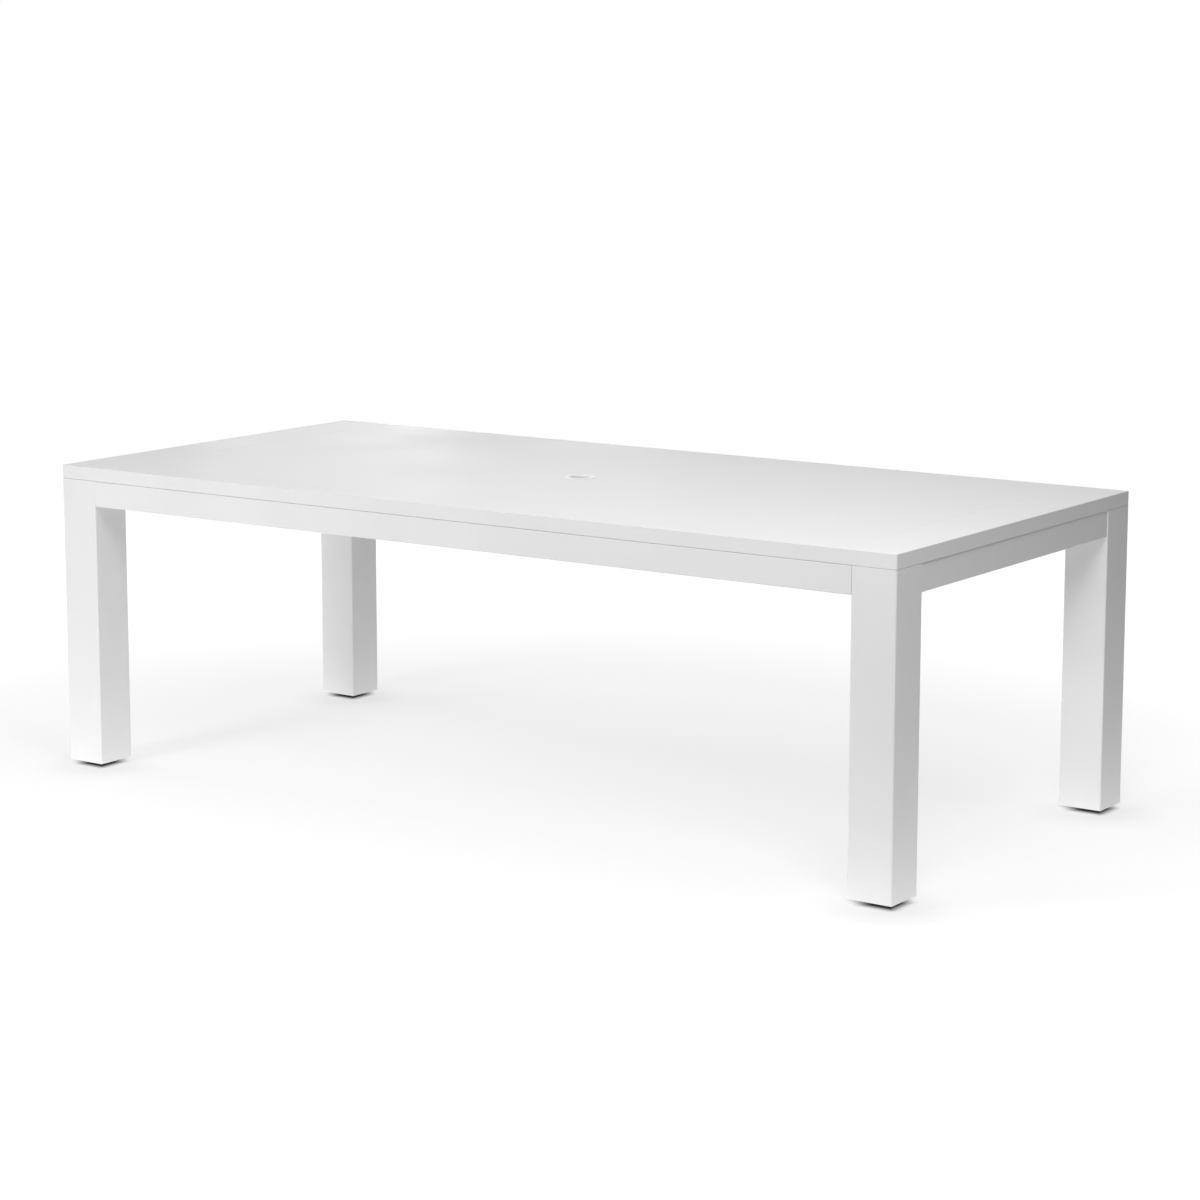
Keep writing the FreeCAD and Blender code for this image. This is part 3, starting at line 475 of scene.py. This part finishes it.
def rolled_thread(heights, radius):
    """Radius of a thread: with w the distance along the pitch from the nearest crest, from 0 to 1,
    a flat crest, straight flanks and a flat root, carried round so that it climbs a pitch a turn."""
    turn = heights[:, None] / THREAD_PITCH - round_angle / (2 * math.pi)
    w = np.abs(turn % 1 - 0.5) * 2
    return radius - THREAD_DEPTH * np.clip((w - THREAD_CREST) / THREAD_FLANK, 0, 1)


def turned(heights, radii):
    """Rings round the Z axis: the point of row i and column j is at radius r(i, j), the column's
    angle and height h(i)."""
    upright = np.broadcast_to(heights[:, None], radii.shape)
    return np.stack([radii * np.cos(round_angle), radii * np.sin(round_angle), upright], axis=-1)


def plain(radii):
    """Rows of one radius each."""
    return np.repeat(np.array(radii)[:, None], ROUND_COLUMNS, axis=1)


for corner in SIGNS:
    finish(black_nylon, f"glide_pad_{corner}")
    finish(zinc_steel, f"glide_nut_{corner}")
    stem_low, stem_high = (np.array(end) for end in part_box(f"glide_stem_{corner}"))
    flats = (stem_high - stem_low)[:2].min()
    hex_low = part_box(f"glide_pad_{corner}")[1].z
    hex_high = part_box(f"foot_plate_{corner}")[0].z
    pin = np.array([stem_low[2], stem_low[2] + STEM_CHAMFER, hex_low])
    up_flats = 0.5 - 0.5 * np.cos(np.linspace(0, math.pi, HEXAGON_ROWS))
    flat_heights = hex_low + (hex_high - hex_low) * up_flats
    shank = np.arange(hex_high, stem_high[2] - STEM_CHAMFER, THREAD_PITCH / ROWS_PER_PITCH)
    tip = np.array([stem_high[2]])
    heights = np.concatenate([pin, flat_heights, shank, tip])
    radii = np.concatenate([
        plain([STEM_RADIUS - STEM_CHAMFER, STEM_RADIUS, STEM_RADIUS]),
        bar_hexagon(flats, np.minimum(flat_heights - hex_low, hex_high - flat_heights)),
        rolled_thread(shank, STEM_RADIUS),
        plain([STEM_RADIUS - STEM_CHAMFER]),
    ])
    centre = (stem_low + stem_high) / 2
    centre[2] = 0
    stem = ring_stack(f"threaded_stem_{corner}", (turned(heights, radii) + centre)[None], zinc_steel,
                      f"stem_{corner}")
    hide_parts(f"glide_stem_{corner}")

# Aprons and cross rails: rectangular aluminium tube in the same white coat. The cross rails are
# welded between the long aprons, along both sides and underneath. The corner brackets hold the
# aprons to the legs.
finish(powder_coat, "apron_front", "apron_back", "apron_left", "apron_right")
RAIL_COUNT = 4
RAILS = [f"cross_rail_{place}" for place in range(1, RAIL_COUNT + 1)]
finish(powder_coat, *RAILS)
starts, ends, floors, walls = [], [], [], []
for rail in RAILS:
    (x_low, y_low, z_low), (x_high, y_high, z_high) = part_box(rail)
    for y, inwards in ((y_low, 1), (y_high, -1)):
        starts += [(x_low, y, z_low), (x_high, y, z_low), (x_low, y, z_low)]
        ends += [(x_low, y, z_high), (x_high, y, z_high), (x_high, y, z_low)]
        floors += [(-1, 0, 0), (1, 0, 0), (0, 0, -1)]
        walls += [(0, inwards, 0)] * 3
weld_lines = (np.array(rows, dtype=float) for rows in (starts, ends, floors, walls))
weld_beads("cross_rail_welds", *weld_lines)

# Corner brackets: sawn lengths of aluminium extrusion, left bare, with the lines of the die along
# them. Flanged zinc bolts hold each to its leg, in rivet nuts, and socket screws hold the aprons.
ALUMINIUM_PALE = (0.78, 0.785, 0.79, 1)
ALUMINIUM_DULL = (0.66, 0.67, 0.68, 1)
ALUMINIUM_GLOSS = (0.30, 0.46)
ALUMINIUM_CLOUD = 0.03
DIE_LINE = 0.0005
DIE_LENGTH = 0.08
DIE_DEPTH = 0.00001
BRACKET_WALL = 0.004
BOLT_HALF_PITCH = 0.013
BRACKET_SCREW_REACH = 0.034
BOLT = {"radius": 0.004, "length": 0.022, "flange": 0.009, "rim": 0.0007, "cone": 0.0028,
        "flats": 0.013, "head": 0.008}
BRACKET_SCREW = {"radius": 0.003, "length": 0.014, "head": 0.0057, "height": 0.0033,
                 "key": 0.004, "depth": 0.0021}
SHANK_CHAMFER = 0.0008
CONE_ROWS = 5
DOME_ROWS = 7
SOCKET_MOUTH = 0.62
SOCKET_EDGE = 0.18
SOCKET_LEAD = 0.0002

bare_aluminium, tree = start_material("bare_aluminium")
patch = clouds(tree, ALUMINIUM_CLOUD)
lines = grain(tree, DIE_LINE, DIE_LINE, DIE_LENGTH)
metal = add(tree, "ShaderNodeBsdfPrincipled", Metallic=1.0,
            Base_Color=tint(tree, patch, ALUMINIUM_DULL, ALUMINIUM_PALE),
            Roughness=between(tree, lines, ALUMINIUM_GLOSS), Normal=relief(tree, lines, DIE_DEPTH))
add(tree, "ShaderNodeOutputMaterial", Surface=metal.outputs["BSDF"])


def fasteners(name, shape, places, axes, node):
    """Copies of one turned shape, each at its place with its head along its axis: a point (x, y, z)
    of the shape goes to place + x u + y v + z axis, where u and v are square to the axis."""
    places = np.array(places, dtype=float)[:, None, None]
    axes = np.array(axes, dtype=float)
    u = np.roll(axes, 1, axis=1)
    v = np.cross(axes, u)
    x, y, z = (shape[None, ..., i, None] for i in range(3))
    rings = places + x * u[:, None, None] + y * v[:, None, None] + z * axes[:, None, None]
    piece = ring_stack(name, rings, zinc_steel, "table")
    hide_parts(node)


def flange_bolt(radius, length, flange, rim, cone, flats, head):
    """Hexagon bolt with a flange, its seat at height 0: shank, flange rim, then by height the larger
    of the flange's cone and the chamfered hexagon."""
    shank = np.array([-length, SHANK_CHAMFER - length, 0, 0])
    crown = head - SHANK_CHAMFER * np.linspace(1, 0, CONE_ROWS)
    upper = np.concatenate([np.linspace(rim, cone, CONE_ROWS), crown])
    slope = flange - (flange - flats / 2) * (upper - rim) / (cone - rim)
    sides = np.maximum(bar_hexagon(flats, head - upper), slope[:, None])
    radii = [plain([radius - SHANK_CHAMFER, radius, radius, flange]), sides]
    return turned(np.concatenate([shank, upper]), np.concatenate(radii))


def socket_screw(radius, length, head, height, key, depth):
    """Button-headed screw, its seat at height 0: shank, a quarter ellipse from the head's edge up to
    the mouth of the socket, then the hexagon socket's walls down to its floor."""
    mouth = SOCKET_MOUTH * key
    edge = SOCKET_EDGE * height
    a = np.linspace(0, math.pi / 2, DOME_ROWS)
    shank = [-length, SHANK_CHAMFER - length, 0, 0]
    shank_radii = plain([radius - SHANK_CHAMFER, radius, radius, head])
    dome = edge + (height - edge) * np.sin(a)
    dome_radii = plain(mouth + (head - mouth) * np.cos(a))
    heights = np.concatenate([shank, dome, [height - SOCKET_LEAD, height - depth]])
    return turned(heights, np.vstack([shank_radii, dome_radii, hexagon(key), hexagon(key)]))


bolt_places, bolt_axes, screw_places, screw_axes = [], [], [], []
for corner, (sign_x, sign_y) in SIGNS.items():
    finish(bare_aluminium, f"corner_bracket_{corner}")
    side_y, side_x = corner.split("_")
    leg_x = min((end.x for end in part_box(f"leg_{corner}")), key=abs)
    leg_y = min((end.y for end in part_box(f"leg_{corner}")), key=abs)
    apron_x = min((end.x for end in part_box(f"apron_{side_x}")), key=abs)
    apron_y = min((end.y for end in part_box(f"apron_{side_y}")), key=abs)
    to_x = np.array([-sign_x, 0, 0])
    to_y = np.array([0, -sign_y, 0])
    level = sum(end.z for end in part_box(f"corner_bracket_{corner}")) / 2
    for z in (level - BOLT_HALF_PITCH, level + BOLT_HALF_PITCH):
        bolt_places += [np.array([leg_x, (leg_y + apron_y) / 2, z]) + to_x * BRACKET_WALL]
        bolt_places += [np.array([(leg_x + apron_x) / 2, leg_y, z]) + to_y * BRACKET_WALL]
        bolt_axes += [to_x, to_y]
        on_long = np.array([leg_x, apron_y, z])
        on_end = np.array([apron_x, leg_y, z])
        screw_places += [on_long + to_x * BRACKET_SCREW_REACH + to_y * BRACKET_WALL]
        screw_places += [on_end + to_y * BRACKET_SCREW_REACH + to_x * BRACKET_WALL]
        screw_axes += [to_y, to_x]
finish(zinc_steel, "leg_rivet_nuts")
fasteners("flanged_leg_bolts", flange_bolt(**BOLT), bolt_places, bolt_axes, "leg_bolts")
fasteners("socket_bracket_screws", socket_screw(**BRACKET_SCREW), screw_places, screw_axes,
          "bracket_screws")

# Top: four mitred border extrusions and a folded sheet panel on box ribs, all coated white.
# The panel sits in the border with a fine open joint round it, and screws hold it from below.
finish(powder_coat, "top_rail_front", "top_rail_back", "top_rail_left", "top_rail_right", "top_panel")
RIB_COUNT = 6
RIBS = [f"panel_rib_{place}" for place in range(1, RIB_COUNT + 1)]
finish(powder_coat, *RIBS)

# Umbrella fittings: a flanged ring of white moulded plastic lines the hole in the panel, a lobed
# nut of the same plastic clamps it from below, and a coated plate on the cross rails guides the pole.
PLASTIC_WHITE = (0.94, 0.94, 0.935, 1)
PLASTIC_SHADE = (0.92, 0.92, 0.915, 1)
PLASTIC_GLOW = 0.5
PLASTIC_GLOW_REACH = 0.003
PLASTIC_GLOSS = (0.34, 0.44)
PLASTIC_CLOUD = 0.02
PLASTIC_GRAIN = 0.0009
PLASTIC_DEPTH = 0.000015
NUT_LOBES = 16
NUT_LOBE_DEPTH = 0.0018
NUT_ROUND = 0.0012
NUT_BORE = 0.02905
COLUMNS_PER_LOBE = 12
NUT_COLUMNS = COLUMNS_PER_LOBE * NUT_LOBES

white_plastic = surface("white_plastic", (PLASTIC_SHADE, PLASTIC_WHITE), PLASTIC_CLOUD, PLASTIC_GLOSS,
                        PLASTIC_GRAIN, PLASTIC_DEPTH, Subsurface_Weight=PLASTIC_GLOW,
                        Subsurface_Radius=(1, 1, 1), Subsurface_Scale=PLASTIC_GLOW_REACH)
finish(white_plastic, "umbrella_ring")
finish(powder_coat, "umbrella_guide_plate")

nut_low, nut_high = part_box("umbrella_ring_nut")
nut_angle = np.arange(NUT_COLUMNS) * 2 * math.pi / NUT_COLUMNS
scallop = NUT_LOBE_DEPTH * (0.5 + 0.5 * np.cos(NUT_LOBES * nut_angle)) ** 2
outer = nut_high.x - scallop
inner = np.full(NUT_COLUMNS, NUT_BORE)
nut_rows = [(inner + NUT_ROUND, nut_low.z), (outer - NUT_ROUND, nut_low.z),
            (outer, nut_low.z + NUT_ROUND), (outer, nut_high.z - NUT_ROUND),
            (outer - NUT_ROUND, nut_high.z), (inner + NUT_ROUND, nut_high.z),
            (inner, nut_high.z - NUT_ROUND), (inner, nut_low.z + NUT_ROUND)]
nut_x, nut_y = np.cos(nut_angle), np.sin(nut_angle)
nut_rings = [np.stack([r * nut_x, r * nut_y, np.full(NUT_COLUMNS, z)], axis=-1) for r, z in nut_rows]
nut = ring_stack("lobed_ring_nut", np.array(nut_rings)[None], white_plastic, "table",
                 ring_shaped=True)
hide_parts("umbrella_ring_nut")

# Fixings of the top: bare aluminium angle clips under the slab, small socket screws in the clips, the
# panel's ledge and the guide plate, and thin grey pads that hold the top clear of the base.
SMALL_SCREW = {"radius": 0.0025, "length": 0.012, "head": 0.00475, "height": 0.00275,
               "key": 0.003, "depth": 0.0017}
CLIP_WALL = 0.003
CLIP_REACH = 0.0174
CLIP_PITCH = 0.8
LEDGE_SCREW = 0.006
GUIDE_SCREW = 0.045
GREY_PALE = (0.42, 0.42, 0.42, 1)
GREY_DARK = (0.36, 0.36, 0.36, 1)
GREY_GLOSS = (0.55, 0.7)

grey_plastic = surface("grey_plastic", (GREY_DARK, GREY_PALE), PLASTIC_CLOUD, GREY_GLOSS,
                       NYLON_GRAIN, NYLON_DEPTH)
finish(grey_plastic, "top_spacers")
finish(bare_aluminium, "top_clips")

small_places, small_axes = [], []
slab_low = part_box("top_rail_front")[0].z
clip_spots = [((x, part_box("apron_front")[1].y), (0, 1)) for x in (-CLIP_PITCH, 0, CLIP_PITCH)]
clip_spots += [((x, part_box("apron_back")[0].y), (0, -1)) for x in (-CLIP_PITCH, 0, CLIP_PITCH)]
clip_spots += [((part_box("apron_left")[1].x, 0), (1, 0)), ((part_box("apron_right")[0].x, 0), (-1, 0))]
for (x, y), (in_x, in_y) in clip_spots:
    small_places += [(x + in_x * CLIP_REACH, y + in_y * CLIP_REACH, slab_low - CLIP_WALL)]
    small_places += [(x + in_x * CLIP_WALL, y + in_y * CLIP_WALL, slab_low - CLIP_REACH)]
    small_axes += [(0, 0, -1), (in_x, in_y, 0)]
ledge_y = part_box("top_rail_back")[0].y + LEDGE_SCREW
for rib in RIBS:
    x = sum(end.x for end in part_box(rib)) / 2
    small_places += [(x, -ledge_y, slab_low), (x, ledge_y, slab_low)]
    small_axes += [(0, 0, -1)] * 2
guide_low, guide_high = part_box("umbrella_guide_plate")
for rail in RAILS:
    x = sum(end.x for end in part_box(rail)) / 2
    if guide_low.x < x < guide_high.x:
        small_places += [(x, -GUIDE_SCREW, guide_low.z), (x, GUIDE_SCREW, guide_low.z)]
        small_axes += [(0, 0, -1)] * 2
fasteners("small_socket_screws", socket_screw(**SMALL_SCREW), small_places, small_axes,
          "small_screws")
